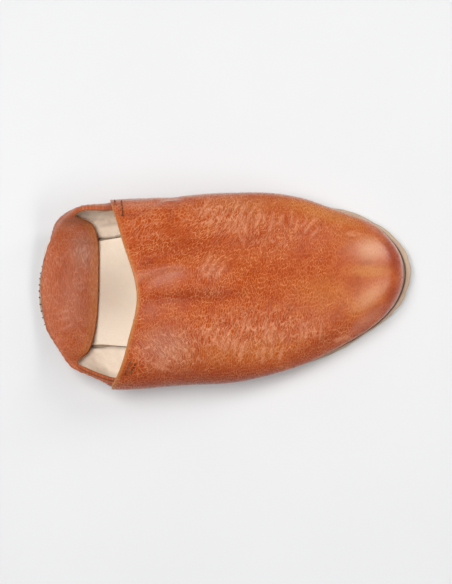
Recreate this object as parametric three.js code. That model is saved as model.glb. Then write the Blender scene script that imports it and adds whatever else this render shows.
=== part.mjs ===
// A babouche: a flat Moroccan slipper of tan leather, for the right foot, worn with its heel trodden down.
// A single leather sole carries a pale insole. The vamp covers the toes and the instep, and a heel quarter,
// caught under the vamp's wings, stands at the sides and lies folded forward over the insole at the back.
// Millimetres: X from heel to toe, Y towards the inner side of the foot, Z up from the ground.
// The shapes are drawn from the heel end of the sole and then set over the middle of their own box.

import * as THREE from 'three';

// Driving sizes
const LENGTH = 270; // sole, heel end to toe end
const BALL_WIDTH = 117; // sole, across the ball
const INSTEP_HEIGHT = 55; // crest of the vamp at the throat, above the top of the sole
const HEEL_HEIGHT = 26; // folded points of the quarter, above the top of the sole
const SOLE_THICKNESS = 5;
const INSOLE_THICKNESS = 1.7;
const WALL = 2; // upper leather with its lining
const GAP = 0.3; // between pieces that touch
const TUCK_GAP = 0.8; // between the quarter and the wings that cover it

// Walking line of the sole: two flat stretches, an arch between them and a spring at the toe
const HEEL_SEAT_END = 0.28 * LENGTH;
const TREAD_START = 0.56 * LENGTH;
const TREAD_END = 0.74 * LENGTH;
const ARCH_RISE = 2;
const TOE_SPRING = 5;
const TOE_SPRING_POWER = 1.8;

// Outlines: a row for each section, at a share of the length, with the sides as shares of the ball width
const SOLE_EDGE = [
  { at: 0.0, medial: -0.026, lateral: -0.026 },
  { at: 0.017, medial: 0.18, lateral: -0.252 },
  { at: 0.039, medial: 0.265, lateral: -0.318 },
  { at: 0.078, medial: 0.322, lateral: -0.375 },
  { at: 0.13, medial: 0.345, lateral: -0.417 },
  { at: 0.211, medial: 0.346, lateral: -0.432 },
  { at: 0.352, medial: 0.38, lateral: -0.466 },
  { at: 0.5, medial: 0.427, lateral: -0.513 },
  { at: 0.611, medial: 0.457, lateral: -0.541 },
  { at: 0.704, medial: 0.462, lateral: -0.529 },
  { at: 0.778, medial: 0.446, lateral: -0.479 },
  { at: 0.844, medial: 0.41, lateral: -0.401 },
  { at: 0.9, medial: 0.346, lateral: -0.322 },
  { at: 0.944, medial: 0.274, lateral: -0.248 },
  { at: 0.974, medial: 0.197, lateral: -0.167 },
  { at: 1.0, medial: 0.034, lateral: 0.034 },
];

// The foot line, where the outside of the upper meets the sole
const FOOT_LINE = [
  { at: 0.0075, medial: -0.03, lateral: -0.03 },
  { at: 0.021, medial: 0.164, lateral: -0.222 },
  { at: 0.041, medial: 0.244, lateral: -0.303 },
  { at: 0.08, medial: 0.298, lateral: -0.36 },
  { at: 0.148, medial: 0.31, lateral: -0.396 },
  { at: 0.211, medial: 0.33, lateral: -0.416 },
  { at: 0.352, medial: 0.361, lateral: -0.446 },
  { at: 0.5, medial: 0.406, lateral: -0.491 },
  { at: 0.611, medial: 0.432, lateral: -0.513 },
  { at: 0.704, medial: 0.432, lateral: -0.498 },
  { at: 0.779, medial: 0.404, lateral: -0.444 },
  { at: 0.847, medial: 0.364, lateral: -0.374 },
  { at: 0.904, medial: 0.304, lateral: -0.287 },
  { at: 0.942, medial: 0.217, lateral: -0.201 },
  { at: 0.966, medial: 0.133, lateral: -0.106 },
  { at: 0.978, medial: 0.017, lateral: 0.017 },
];

// The vamp: how far it swells past the sole on each side (shares of the ball width), how high that belly
// and the crest stand above the sole (shares of the instep height)
const VAMP_SECTIONS = [
  { at: 0.148, medial: 0.494, lateral: -0.603, belly: 0.4, crest: 1.02 },
  { at: 0.211, medial: 0.503, lateral: -0.645, belly: 0.38, crest: 1.01 },
  { at: 0.352, medial: 0.507, lateral: -0.638, belly: 0.355, crest: 0.965 },
  { at: 0.5, medial: 0.522, lateral: -0.63, belly: 0.327, crest: 0.89 },
  { at: 0.611, medial: 0.521, lateral: -0.59, belly: 0.3, crest: 0.8 },
  { at: 0.704, medial: 0.484, lateral: -0.529, belly: 0.255, crest: 0.705 },
  { at: 0.779, medial: 0.426, lateral: -0.457, belly: 0.21, crest: 0.62 },
  { at: 0.847, medial: 0.368, lateral: -0.377, belly: 0.173, crest: 0.54 },
  { at: 0.904, medial: 0.306, lateral: -0.289, belly: 0.145, crest: 0.455 },
  { at: 0.942, medial: 0.218, lateral: -0.202, belly: 0.11, crest: 0.37 },
  { at: 0.966, medial: 0.133, lateral: -0.106, belly: 0.073, crest: 0.25 },
  { at: 0.978, medial: 0.017, lateral: 0.017, belly: 0, crest: 0 },
];

// The cut edge of the throat, a rounded V between the two wings
const THROAT_EDGE = [
  { across: -0.645, at: 0.196 },
  { across: -0.53, at: 0.224 },
  { across: -0.386, at: 0.247 },
  { across: -0.1, at: 0.2755 },
  { across: 0.247, at: 0.24 },
  { across: 0.4, at: 0.222 },
  { across: 0.503, at: 0.208 },
];

// The quarter round the heel, a row for each fold, through the middle of the leather. foot is the place
// along the foot line on that side, bulge how far its wall is pushed out in millimetres, ridge the line
// where it bends over, edge its free edge.
// Lengthways in shares of the length, across in shares of the ball width, heights in shares of the heel's.
const HEEL_FOLDS = [
  { side: 1, foot: 0.141, bulge: 6, ridge: [0.137, 0.462, 1.12], edge: [0.139, 0.429, 1.14] },
  { side: 1, foot: 0.1, bulge: 11, ridge: [0.1, 0.425, 1.02], edge: [0.116, 0.405, 1.0] },
  { side: 1, foot: 0.067, bulge: 7, ridge: [0.07, 0.385, 0.64], edge: [0.15, 0.375, 0.5] },
  { side: 1, foot: 0.041, bulge: 2, ridge: [0.047, 0.319, 0.404], edge: [0.161, 0.298, 0.27] },
  { side: 1, foot: 0.02, bulge: 0, ridge: [0.022, 0.197, 0.25], edge: [0.163, 0.205, 0.146] },
  { side: 1, foot: 0.0075, bulge: 0, ridge: [0.008, -0.034, 0.172], edge: [0.159, -0.026, 0.131] },
  { side: -1, foot: 0.02, bulge: 0, ridge: [0.019, -0.225, 0.205], edge: [0.154, -0.18, 0.138] },
  { side: -1, foot: 0.038, bulge: 0, ridge: [0.037, -0.315, 0.32], edge: [0.145, -0.305, 0.22] },
  { side: -1, foot: 0.063, bulge: 0, ridge: [0.06, -0.405, 0.56], edge: [0.13, -0.405, 0.38] },
  { side: -1, foot: 0.096, bulge: 0, ridge: [0.094, -0.496, 0.96], edge: [0.107, -0.472, 0.86] },
  { side: -1, foot: 0.141, bulge: 0, ridge: [0.137, -0.543, 1.04], edge: [0.139, -0.509, 1.06] },
];
const TUCKED_PLACES = [0.268, 0.231, 0.194]; // sections of the quarter under the wings, front to back
const TUCKED_TOP = 0.6; // where its top edge lies there, from the crest (0) to the foot line (1)
const TURNED_EDGE = 4; // width of the edge that is turned in along the top
const BEND = 3; // leather taken up on each side of a fold

// How finely the curved pieces are cut into flat faces
const STATIONS_ALONG_SOLE = 46;
const STATIONS_ALONG_VAMP = 34;
const STEPS_OVER_VAMP = 30;
const STEPS_BETWEEN_FOLDS = 4;

const MATERIALS = {
  outsole: { color: 0xc9ad90, roughness: 0.75, metalness: 0 },
  insole: { color: 0xe1c9b5, roughness: 0.8, metalness: 0 },
  vamp: { color: 0xc5643a, roughness: 0.42, metalness: 0 },
  back_quarter: { color: 0xbe6a49, roughness: 0.5, metalness: 0 },
};

// A smooth curve through one column of a table. Sections close up towards both ends of the table, where
// the outline is round, so the curve is drawn over the angle of a half turn from one end to the other.
function tableCurve(rows, column) {
  const start = rows[0].at;
  const span = rows[rows.length - 1].at - start;
  const turnAt = (at) => Math.acos(THREE.MathUtils.clamp(1 - (2 * (at - start)) / span, -1, 1));
  return curveThrough(rows.map((row) => turnAt(row.at)), rows.map((row) => row[column]), turnAt);
}

// A smooth curve through given values, with slopes taken from each value's neighbours
function curveThrough(places, values, placeOf = (place) => place) {
  const last = places.length - 1;
  const slopes = values.map((value, i) => {
    const before = Math.max(i - 1, 0);
    const after = Math.min(i + 1, last);
    return (values[after] - values[before]) / (places[after] - places[before]);
  });
  return (where) => {
    const place = THREE.MathUtils.clamp(placeOf(where), places[0], places[last]);
    let i = 0;
    while (i < last - 1 && place > places[i + 1]) i += 1;
    const step = places[i + 1] - places[i];
    const t = (place - places[i]) / step;
    const stay = (1 + 2 * t) * (1 - t) ** 2;
    return (
      stay * values[i] +
      (1 - stay) * values[i + 1] +
      t * (1 - t) ** 2 * step * slopes[i] -
      t ** 2 * (1 - t) * step * slopes[i + 1]
    );
  };
}

// Height of the sole's underside at a distance from the heel end
function groundLine(x) {
  if (x > TREAD_END) {
    return TOE_SPRING * ((x - TREAD_END) / (LENGTH - TREAD_END)) ** TOE_SPRING_POWER;
  }
  if (x > HEEL_SEAT_END && x < TREAD_START) {
    return ARCH_RISE * Math.sin((Math.PI * (x - HEEL_SEAT_END)) / (TREAD_START - HEEL_SEAT_END)) ** 2;
  }
  return 0;
}

const soleTop = (x) => groundLine(x) + SOLE_THICKNESS;

// An outline as pairs of points, medial and lateral, from its heel end to its toe end, moved in by the
// inset found for each distance from the heel end
function outlinePairs(rows, inset) {
  const medial = tableCurve(rows, 'medial');
  const lateral = tableCurve(rows, 'lateral');
  const start = rows[0].at;
  const span = rows[rows.length - 1].at - start;
  const endTurn = 0.08;
  const points = [];
  for (let i = 0; i <= STATIONS_ALONG_SOLE; i += 1) {
    const turn = endTurn + ((Math.PI - 2 * endTurn) * i) / STATIONS_ALONG_SOLE;
    const at = start + (span * (1 - Math.cos(turn))) / 2;
    const reach = start + (span * (1 - Math.cos(turn) / Math.cos(endTurn))) / 2;
    points.push([
      new THREE.Vector2(reach * LENGTH, medial(at) * BALL_WIDTH),
      new THREE.Vector2(reach * LENGTH, lateral(at) * BALL_WIDTH),
    ]);
  }
  const loop = [...points.map((pair) => pair[0]), ...points.map((pair) => pair[1]).reverse()];
  const moved = loop.map((point, i) => {
    const before = loop[(i + loop.length - 1) % loop.length];
    const after = loop[(i + 1) % loop.length];
    const along = after.clone().sub(before).normalize();
    const distance = inset(point.x);
    return new THREE.Vector2(point.x + along.y * distance, point.y - along.x * distance);
  });
  return points.map((pair, i) => [moved[i], moved[loop.length - 1 - i]]);
}

// A flat piece of leather cut to an outline, between two heights, with its edges eased by a small bevel
function plate(rows, inset, bevel, bottom, top) {
  const edge = outlinePairs(rows, inset);
  const face = outlinePairs(rows, (x) => inset(x) + bevel);
  const lift = (point, height, rise) => new THREE.Vector3(point.x, point.y, height(point.x) + rise);
  const rings = edge.map(([medial, lateral], i) => [
    lift(face[i][0], bottom, 0),
    lift(medial, bottom, bevel),
    lift(medial, top, -bevel),
    lift(face[i][0], top, 0),
    lift(face[i][1], top, 0),
    lift(lateral, top, -bevel),
    lift(lateral, bottom, bevel),
    lift(face[i][1], bottom, 0),
  ]);
  return ringSolid(rings);
}

// A closed solid through rings of points that all run the same way round, with both ends closed
function ringSolid(rings) {
  const size = rings[0].length;
  const points = rings.flat();
  const faces = [];
  for (let i = 0; i < rings.length - 1; i += 1) {
    for (let j = 0; j < size; j += 1) {
      const next = (j + 1) % size;
      addQuad(faces, points, [i * size + j, i * size + next, (i + 1) * size + next, (i + 1) * size + j]);
    }
  }
  const lastRing = (rings.length - 1) * size;
  for (let j = 0; j < size / 2 - 1; j += 1) {
    const across = size - 1 - j;
    addQuad(faces, points, [j + 1, j, across, across - 1]);
    addQuad(faces, points, [lastRing + j, lastRing + j + 1, lastRing + across - 1, lastRing + across]);
  }
  return solidGeometry(points, faces);
}

// Two triangles for the four corners of a face, leaving out one that has shrunk to a line
function addQuad(faces, points, [a, b, c, d]) {
  const apart = (p, q) => points[p].distanceTo(points[q]) > 1e-4;
  if (apart(a, b) && apart(b, c) && apart(a, c)) faces.push(a, b, c);
  if (apart(a, c) && apart(c, d) && apart(a, d)) faces.push(a, c, d);
}

function solidGeometry(points, faces) {
  const geometry = new THREE.BufferGeometry().setFromPoints(points);
  geometry.setIndex(faces);
  geometry.computeVertexNormals();
  return geometry;
}

// The direction out of a surface given as a grid of points, at one of them
function outward(grid, i, j) {
  const rows = grid.length - 1;
  const columns = grid[0].length - 1;
  const along = grid[Math.min(i + 1, rows)][j].clone().sub(grid[Math.max(i - 1, 0)][j]);
  const over = grid[i][Math.min(j + 1, columns)].clone().sub(grid[i][Math.max(j - 1, 0)]);
  const normal = over.cross(along);
  return normal.length() > 1e-6 ? normal.normalize() : new THREE.Vector3(1, 0, 0);
}

// A sheet of leather made solid: the grid moved out on one side and in on the other, joined all round.
// settle puts each point at rest on what lies under it.
function sheetSolid(grid, out, inwards, settle) {
  const rows = grid.length;
  const columns = grid[0].length;
  const move = (distance) =>
    grid.flatMap((row, i) =>
      row.map((point, j) => settle(outward(grid, i, j).multiplyScalar(distance).add(point), j)),
    );
  const points = [...move(out), ...move(-inwards)];
  const faces = [];
  const outer = (i, j) => i * columns + j;
  const inner = (i, j) => rows * columns + outer(i, j);
  for (let i = 0; i < rows - 1; i += 1) {
    for (let j = 0; j < columns - 1; j += 1) {
      addQuad(faces, points, [outer(i, j), outer(i, j + 1), outer(i + 1, j + 1), outer(i + 1, j)]);
      addQuad(faces, points, [inner(i, j), inner(i + 1, j), inner(i + 1, j + 1), inner(i, j + 1)]);
    }
  }
  for (let i = 0; i < rows - 1; i += 1) {
    const far = columns - 1;
    addQuad(faces, points, [outer(i, 0), outer(i + 1, 0), inner(i + 1, 0), inner(i, 0)]);
    addQuad(faces, points, [outer(i + 1, far), outer(i, far), inner(i, far), inner(i + 1, far)]);
  }
  for (let j = 0; j < columns - 1; j += 1) {
    const far = rows - 1;
    addQuad(faces, points, [outer(0, j + 1), outer(0, j), inner(0, j), inner(0, j + 1)]);
    addQuad(faces, points, [outer(far, j), outer(far, j + 1), inner(far, j + 1), inner(far, j)]);
  }
  return solidGeometry(points, faces);
}

// Outsole: one thick layer of natural leather, flat under heel and tread
function outsoleGeometry() {
  const bevel = 0.7;
  return plate(SOLE_EDGE, () => 0, bevel, groundLine, soleTop);
}

// Insole: a thin pale sheet lying inside the foot line, narrower where both quarter and vamp stand beside it
function insoleGeometry() {
  const slope = 0.05 * LENGTH;
  const wingStart = 0.17 * LENGTH;
  const wingEnd = 0.29 * LENGTH;
  const doubled = (x) =>
    THREE.MathUtils.smoothstep(x, wingStart - slope, wingStart) *
    (1 - THREE.MathUtils.smoothstep(x, wingEnd, wingEnd + slope));
  const inset = (x) => 1.6 * WALL + WALL * doubled(x);
  const bevel = 0.3;
  const bottom = (x) => soleTop(x) + GAP;
  const top = (x) => bottom(x) + INSOLE_THICKNESS;
  return plate(FOOT_LINE, inset, bevel, bottom, top);
}

// The outside of the vamp. place is the share of the length; turn runs from the lateral foot line (-1)
// over the crest (0) to the medial one (1).
const footLine = { 1: tableCurve(FOOT_LINE, 'medial'), '-1': tableCurve(FOOT_LINE, 'lateral') };
const bellyLine = { 1: tableCurve(VAMP_SECTIONS, 'medial'), '-1': tableCurve(VAMP_SECTIONS, 'lateral') };
const bellyHeight = tableCurve(VAMP_SECTIONS, 'belly');
const crestHeight = tableCurve(VAMP_SECTIONS, 'crest');
const BELLY_TURN = 0.72; // share of the turn at which the belly is reached
const ARCH_FULLNESS = 2.25; // 2 is an ellipse, more is squarer
const SPRING_OFF = 0.35; // how steeply the leather leaves the sole

function vampPoint(place, turn) {
  const side = turn < 0 ? -1 : 1;
  const x = place * LENGTH;
  const base = soleTop(x) + GAP;
  const belly = bellyLine[side](place) * BALL_WIDTH;
  const bellyZ = base + bellyHeight(place) * INSTEP_HEIGHT;
  const share = Math.abs(turn);
  if (share > BELLY_TURN) {
    const foot = footLine[side](place) * BALL_WIDTH;
    const t = (1 - share) / (1 - BELLY_TURN);
    const curve = new THREE.QuadraticBezierCurve(
      new THREE.Vector2(foot, base),
      new THREE.Vector2(belly, base + SPRING_OFF * (bellyZ - base)),
      new THREE.Vector2(belly, bellyZ),
    );
    const point = curve.getPoint(t);
    return new THREE.Vector3(x, point.x, point.y);
  }
  const middle = ((bellyLine[1](place) + bellyLine[-1](place)) / 2) * BALL_WIDTH;
  const crest = base + crestHeight(place) * INSTEP_HEIGHT;
  const angle = ((1 - share / BELLY_TURN) * Math.PI) / 2;
  const power = 2 / ARCH_FULLNESS;
  const y = middle + (belly - middle) * Math.cos(angle) ** power;
  const z = bellyZ + (crest - bellyZ) * Math.sin(angle) ** power;
  return new THREE.Vector3(x, share === 0 ? middle : y, z);
}

// Vamp: one hollow shell from the throat to the toe, open at the throat and underneath
function vampGeometry() {
  const throat = curveThrough(
    THROAT_EDGE.map((row) => row.across),
    THROAT_EDGE.map((row) => row.at),
  );
  const tip = FOOT_LINE[FOOT_LINE.length - 1].at;
  const throatMiddle = 0.24;
  const grid = [];
  for (let i = 0; i <= STATIONS_ALONG_VAMP; i += 1) {
    const reach = Math.sin((Math.PI * i) / (2 * STATIONS_ALONG_VAMP));
    const row = [];
    for (let j = 0; j <= STEPS_OVER_VAMP; j += 1) {
      const turn = (2 * j) / STEPS_OVER_VAMP - 1;
      const level = THREE.MathUtils.clamp(turn, -BELLY_TURN, BELLY_TURN);
      const start = throat(vampPoint(throatMiddle, level).y / BALL_WIDTH);
      row.push(vampPoint(start + (tip - start) * reach, turn));
    }
    grid.push(row.reverse());
  }
  const settle = (point, j) => {
    const base = soleTop(point.x) + GAP;
    const atFoot = j === 0 || j === STEPS_OVER_VAMP;
    return point.setZ(atFoot ? base : Math.max(point.z, base));
  };
  return sheetSolid(grid, 0, WALL, settle);
}

// One fold of the quarter: up the wall from foot, over the ridge, and on to the free edge
const WALL_STEPS = 6;
const FOLD_STEPS = 4;
const FLAP_STEPS = 6;

function foldLine(wall, ridge, edge) {
  const rise = ridge.clone().sub(wall.getPoint(0.9)).normalize();
  const run = edge.clone().sub(ridge);
  const bend = Math.min(BEND, run.length() / 2);
  const start = ridge.clone().addScaledVector(rise, -bend);
  const end = ridge.clone().addScaledVector(run.clone().normalize(), bend);
  const fold = new THREE.QuadraticBezierCurve3(start, ridge, end);
  const line = [];
  const wallEnd = 1 - bend / wall.getLength();
  for (let i = 0; i < WALL_STEPS; i += 1) line.push(wall.getPointAt((wallEnd * i) / WALL_STEPS));
  for (let i = 0; i <= FOLD_STEPS; i += 1) line.push(fold.getPoint(i / FOLD_STEPS));
  for (let i = 1; i <= FLAP_STEPS; i += 1) line.push(end.clone().lerp(edge, i / FLAP_STEPS));
  return line;
}

// A fold at the heel, from its row of the table
function heelFold({ side, foot, bulge, ridge, edge }) {
  const inPlace = ([along, across, up]) => {
    const x = along * LENGTH;
    return new THREE.Vector3(x, across * BALL_WIDTH, soleTop(x) + up * HEEL_HEIGHT);
  };
  const ridgePoint = inPlace(ridge);
  const x = foot * LENGTH;
  const middle = -0.03 * BALL_WIDTH;
  const y = footLine[side](foot) * BALL_WIDTH;
  const footPoint = new THREE.Vector3(x, y, soleTop(x) + GAP);
  const inwards = new THREE.Vector3(0.4 * LENGTH - x, middle - y, 0).normalize();
  footPoint.addScaledVector(inwards, WALL / 2);
  const belly = footPoint.clone().lerp(ridgePoint, 0.85);
  belly.z = footPoint.z + 0.45 * (ridgePoint.z - footPoint.z);
  belly.addScaledVector(inwards, -bulge);
  const wall = new THREE.QuadraticBezierCurve3(footPoint, belly, ridgePoint);
  return foldLine(wall, ridgePoint, inPlace(edge));
}

// The direction out of the vamp's outside at a place on it
function vampOutward(place, turn) {
  const step = 0.002;
  const low = Math.max(turn - step, -1);
  const high = Math.min(turn + step, 1);
  const along = vampPoint(place + step, turn).sub(vampPoint(place - step, turn));
  const over = vampPoint(place, high).sub(vampPoint(place, low));
  return along.cross(over).normalize();
}

// A section of the quarter tucked under a wing: it follows the inside of the vamp, its top edge turned in
function tuckedFold(place, side) {
  const depth = WALL + TUCK_GAP + WALL / 2;
  const points = [];
  for (let i = 0; i <= WALL_STEPS; i += 1) {
    const turn = side * THREE.MathUtils.lerp(1, TUCKED_TOP, i / WALL_STEPS);
    points.push(vampPoint(place, turn).addScaledVector(vampOutward(place, turn), -depth));
  }
  const foot = footLine[side](place) * BALL_WIDTH - side * depth;
  points[0].set(place * LENGTH, foot, soleTop(place * LENGTH) + GAP);
  const ridge = points[points.length - 1];
  const edge = ridge.clone().add(new THREE.Vector3(0, -side * TURNED_EDGE, 0));
  return foldLine(new THREE.CatmullRomCurve3(points), ridge, edge);
}

// Back quarter: one sheet of leather round the heel, standing at the sides, folded forward at the back
function quarterGeometry() {
  const folds = [
    ...TUCKED_PLACES.map((place) => tuckedFold(place, 1)),
    ...HEEL_FOLDS.map(heelFold),
    ...TUCKED_PLACES.map((place) => tuckedFold(place, -1)).reverse(),
  ];
  const steps = (folds.length - 1) * STEPS_BETWEEN_FOLDS;
  const columns = folds[0].map((_, j) => new THREE.CatmullRomCurve3(folds.map((fold) => fold[j])));
  const grid = [];
  for (let i = 0; i <= steps; i += 1) {
    grid.push(columns.map((curve) => curve.getPoint(i / steps)));
  }
  const settle = (point, j) => {
    const base = soleTop(point.x) + GAP;
    const onInsole = base + INSOLE_THICKNESS + GAP;
    if (j === 0) return point.setZ(base);
    return point.setZ(Math.max(point.z, j > WALL_STEPS + FOLD_STEPS ? onInsole : base));
  };
  return sheetSolid(grid, WALL / 2, WALL / 2, settle);
}

function leatherPiece(name, geometry) {
  const mesh = new THREE.Mesh(geometry, new THREE.MeshStandardMaterial(MATERIALS[name]));
  mesh.name = name;
  return mesh;
}

const shoe = new THREE.Group();
shoe.add(
  leatherPiece('outsole', outsoleGeometry()),
  leatherPiece('insole', insoleGeometry()),
  leatherPiece('vamp', vampGeometry()),
  leatherPiece('back_quarter', quarterGeometry()),
);
const middle = new THREE.Box3().setFromObject(shoe).getCenter(new THREE.Vector3());
shoe.position.set(-middle.x, -middle.y, 0);

const slipper = new THREE.Group();
slipper.add(shoe);

export default slipper;
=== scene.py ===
import math

import bmesh
import bpy
import numpy as np
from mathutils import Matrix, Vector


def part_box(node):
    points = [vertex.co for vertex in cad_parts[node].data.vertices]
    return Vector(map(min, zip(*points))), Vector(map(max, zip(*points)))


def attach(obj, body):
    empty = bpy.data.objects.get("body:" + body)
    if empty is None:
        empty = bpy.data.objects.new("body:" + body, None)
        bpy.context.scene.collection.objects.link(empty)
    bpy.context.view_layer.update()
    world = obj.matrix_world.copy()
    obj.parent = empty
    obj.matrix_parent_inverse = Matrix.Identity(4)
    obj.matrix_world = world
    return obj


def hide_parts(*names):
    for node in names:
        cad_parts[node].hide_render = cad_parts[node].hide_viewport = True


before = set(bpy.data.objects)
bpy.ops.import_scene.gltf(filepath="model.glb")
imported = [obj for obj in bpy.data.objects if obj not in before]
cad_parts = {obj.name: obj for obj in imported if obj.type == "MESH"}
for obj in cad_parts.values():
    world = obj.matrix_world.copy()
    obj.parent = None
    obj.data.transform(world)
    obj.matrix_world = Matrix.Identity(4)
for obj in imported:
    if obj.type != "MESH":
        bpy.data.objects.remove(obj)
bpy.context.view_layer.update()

# ------------------------------------------------------------------------------------------ Outsole
# One slab of natural, undyed leather five millimetres thick, cut to the outline with a knife and rubbed
# at its edge. A channel cut in its top takes the inseam; outside it the rim shows round the toe.
sole_low, sole_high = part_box("outsole")
LENGTH = sole_high.x - sole_low.x
HEEL_END = sole_low.x
BALL_WIDTH = 0.117
MIDLINE = 0.00712  # the line from heel end to toe end, on the inner side of the box's middle
MM = 0.001
SOLE_THICKNESS = 5 * MM
HEEL_SEAT_END, TREAD_START, TREAD_END = 0.28, 0.56, 0.74
ARCH_RISE = 2 * MM
TOE_SPRING = 5 * MM
TOE_SPRING_POWER = 1.8

# the sections, at shares of the length, with the sides as shares of the ball width
SOLE_EDGE = {
    "at": [0, 0.017, 0.039, 0.078, 0.13, 0.211, 0.352, 0.5, 0.611, 0.704, 0.778, 0.844, 0.9, 0.944,
           0.974, 1],
    "medial": [-0.026, 0.18, 0.265, 0.322, 0.345, 0.346, 0.38, 0.427, 0.457, 0.462, 0.446, 0.41, 0.346,
               0.274, 0.197, 0.034],
    "lateral": [-0.026, -0.252, -0.318, -0.375, -0.417, -0.432, -0.466, -0.513, -0.541, -0.529, -0.479,
                -0.401, -0.322, -0.248, -0.167, 0.034],
}
FOOT_LINE = {
    "at": [0.0075, 0.021, 0.041, 0.08, 0.148, 0.211, 0.352, 0.5, 0.611, 0.704, 0.779, 0.847, 0.904, 0.942,
           0.966, 0.978],
    "medial": [-0.03, 0.164, 0.244, 0.298, 0.31, 0.33, 0.361, 0.406, 0.432, 0.432, 0.404, 0.364, 0.304,
               0.217, 0.133, 0.017],
    "lateral": [-0.03, -0.222, -0.303, -0.36, -0.396, -0.416, -0.446, -0.491, -0.513, -0.498, -0.444,
                -0.374, -0.287, -0.201, -0.106, 0.017],
}


def along_x(place):
    return HEEL_END + place * LENGTH


def across_y(share):
    return MIDLINE + share * BALL_WIDTH


def smooth_curve(places, values):
    """A smooth curve through the values, with each slope taken from the neighbours."""
    places, values = np.array(places, float), np.array(values, float)
    number = np.arange(len(places))
    before, after = np.maximum(number - 1, 0), np.minimum(number + 1, len(places) - 1)
    slopes = (values[after] - values[before]) / (places[after] - places[before])

    def curve(where):
        where = np.clip(where, places[0], places[-1])
        i = np.clip(np.searchsorted(places, where) - 1, 0, len(places) - 2)
        step = places[i + 1] - places[i]
        t = (where - places[i]) / step
        stay = (1 + 2 * t) * (1 - t) ** 2
        lean = t * (1 - t) ** 2 * step * slopes[i] - t**2 * (1 - t) * step * slopes[i + 1]
        return stay * values[i] + (1 - stay) * values[i + 1] + lean

    return curve


def section_curve(table, column):
    """A column of a table of sections, drawn over a half turn because both ends of the piece are round."""
    start, span = table["at"][0], table["at"][-1] - table["at"][0]

    def turn(place):
        return np.arccos(np.clip(1 - 2 * (np.asarray(place, float) - start) / span, -1, 1))

    curve = smooth_curve(turn(table["at"]), table[column])
    return lambda place: curve(turn(place))


def ground_line(x):
    """Height of the sole's underside: flat at heel and tread, arched between, sprung at the toe."""
    place = (x - HEEL_END) / LENGTH
    spring = TOE_SPRING * (np.clip(place - TREAD_END, 0, 1) / (1 - TREAD_END)) ** TOE_SPRING_POWER
    arch = np.clip((place - HEEL_SEAT_END) / (TREAD_START - HEEL_SEAT_END), 0, 1)
    return spring + ARCH_RISE * np.sin(math.pi * arch) ** 2


def outline(table, steps):
    """The cut line of a flat piece: up its inner side from heel to toe and back down the outer side."""
    turn = np.linspace(0, math.pi, steps + 1)
    start, span = table["at"][0], table["at"][-1] - table["at"][0]
    place = start + span * (1 - np.cos(turn)) / 2
    medial = np.stack([along_x(place), across_y(section_curve(table, "medial")(place))], axis=1)
    lateral = np.stack([along_x(place), across_y(section_curve(table, "lateral")(place))], axis=1)
    return np.concatenate([medial, lateral[-2:0:-1]])


def unit(vectors):
    return vectors / np.linalg.norm(vectors, axis=-1, keepdims=True)


def inset(loop, distance):
    """The loop moved inwards by a distance, or by one for each point."""
    travel = unit(np.roll(loop, -1, axis=0) - np.roll(loop, 1, axis=0))
    return loop + np.stack([travel[:, 1], -travel[:, 0]], axis=1) * np.reshape(distance, (-1, 1))


def towards_middle(loop, share):
    """The loop drawn in towards the line halfway between its two sides."""
    facing = loop[(len(loop) - np.arange(len(loop))) % len(loop)]
    return loop + (facing - loop) * (share / 2)


def make_piece(name, points, faces, values, material):
    """A smooth mesh piece that rides on the slipper, with named values kept at its points."""
    mesh = bpy.data.meshes.new(name)
    mesh.from_pydata(points.tolist(), [], faces.tolist())
    for label, numbers in values.items():
        layer = mesh.attributes.new(label, "FLOAT", "POINT")
        layer.data.foreach_set("value", np.asarray(numbers, np.float32).ravel())
    shape = bmesh.new()
    shape.from_mesh(mesh)
    bmesh.ops.remove_doubles(shape, verts=shape.verts, dist=2e-6)
    bmesh.ops.dissolve_degenerate(shape, edges=shape.edges, dist=1e-7)
    bmesh.ops.recalc_face_normals(shape, faces=shape.faces)
    shape.to_mesh(mesh)
    shape.free()
    mesh.shade_smooth()
    mesh.materials.append(material)
    piece = bpy.data.objects.new(name, mesh)
    bpy.context.scene.collection.objects.link(piece)
    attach(piece, "root")
    return piece


def ring_faces(rings, size):
    """Faces between loops of the same number of points, each joined to the next."""
    index = np.arange(rings * size).reshape(rings, size)
    beside = np.roll(index, -1, axis=1)
    return np.stack([index[:-1], beside[:-1], beside[1:], index[1:]], axis=-1).reshape(-1, 4)


def loop_piece(name, loops, material):
    """A piece skinned over plan loops; each row gives the loop, its height and the values it carries."""
    points = [np.column_stack([loop, ground_line(loop[:, 0]) + height]) for loop, height, _ in loops]
    labels = loops[0][2].keys()
    size = len(loops[0][0])
    values = {label: np.concatenate([np.full(size, row[2][label]) for row in loops]) for label in labels}
    return make_piece(
        name, np.concatenate(points), ring_faces(len(loops), size), values, material
    )


def new_material(name):
    """An empty leather material and the shader that its textures feed."""
    material = bpy.data.materials.new(name)
    material.use_nodes = True
    nodes = material.node_tree.nodes
    return material, nodes, material.node_tree.links, nodes["Principled BSDF"]


def add_node(nodes, kind, **settings):
    node = nodes.new(kind)
    for key, value in settings.items():
        setattr(node, key, value)
    return node


def colour_ramp(nodes, stops):
    """A ramp through (position, colour) stops."""
    ramp = nodes.new("ShaderNodeValToRGB")
    while len(ramp.color_ramp.elements) < len(stops):
        ramp.color_ramp.elements.new(0.5)
    for element, (position, colour) in zip(ramp.color_ramp.elements, stops):
        element.position = position
        element.color = (*colour, 1)
    return ramp


def blend_colour(nodes, links, mode, amount, first, second):
    """Two colours mixed; amount, first and second are sockets or plain values."""
    mix = add_node(nodes, "ShaderNodeMix", data_type="RGBA", blend_type=mode)
    for socket, value in ((mix.inputs[0], amount), (mix.inputs[6], first), (mix.inputs[7], second)):
        if isinstance(value, bpy.types.NodeSocket):
            links.new(value, socket)
        elif isinstance(value, tuple):
            socket.default_value = (*value, 1)
        else:
            socket.default_value = value
    return mix.outputs[2]


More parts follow.
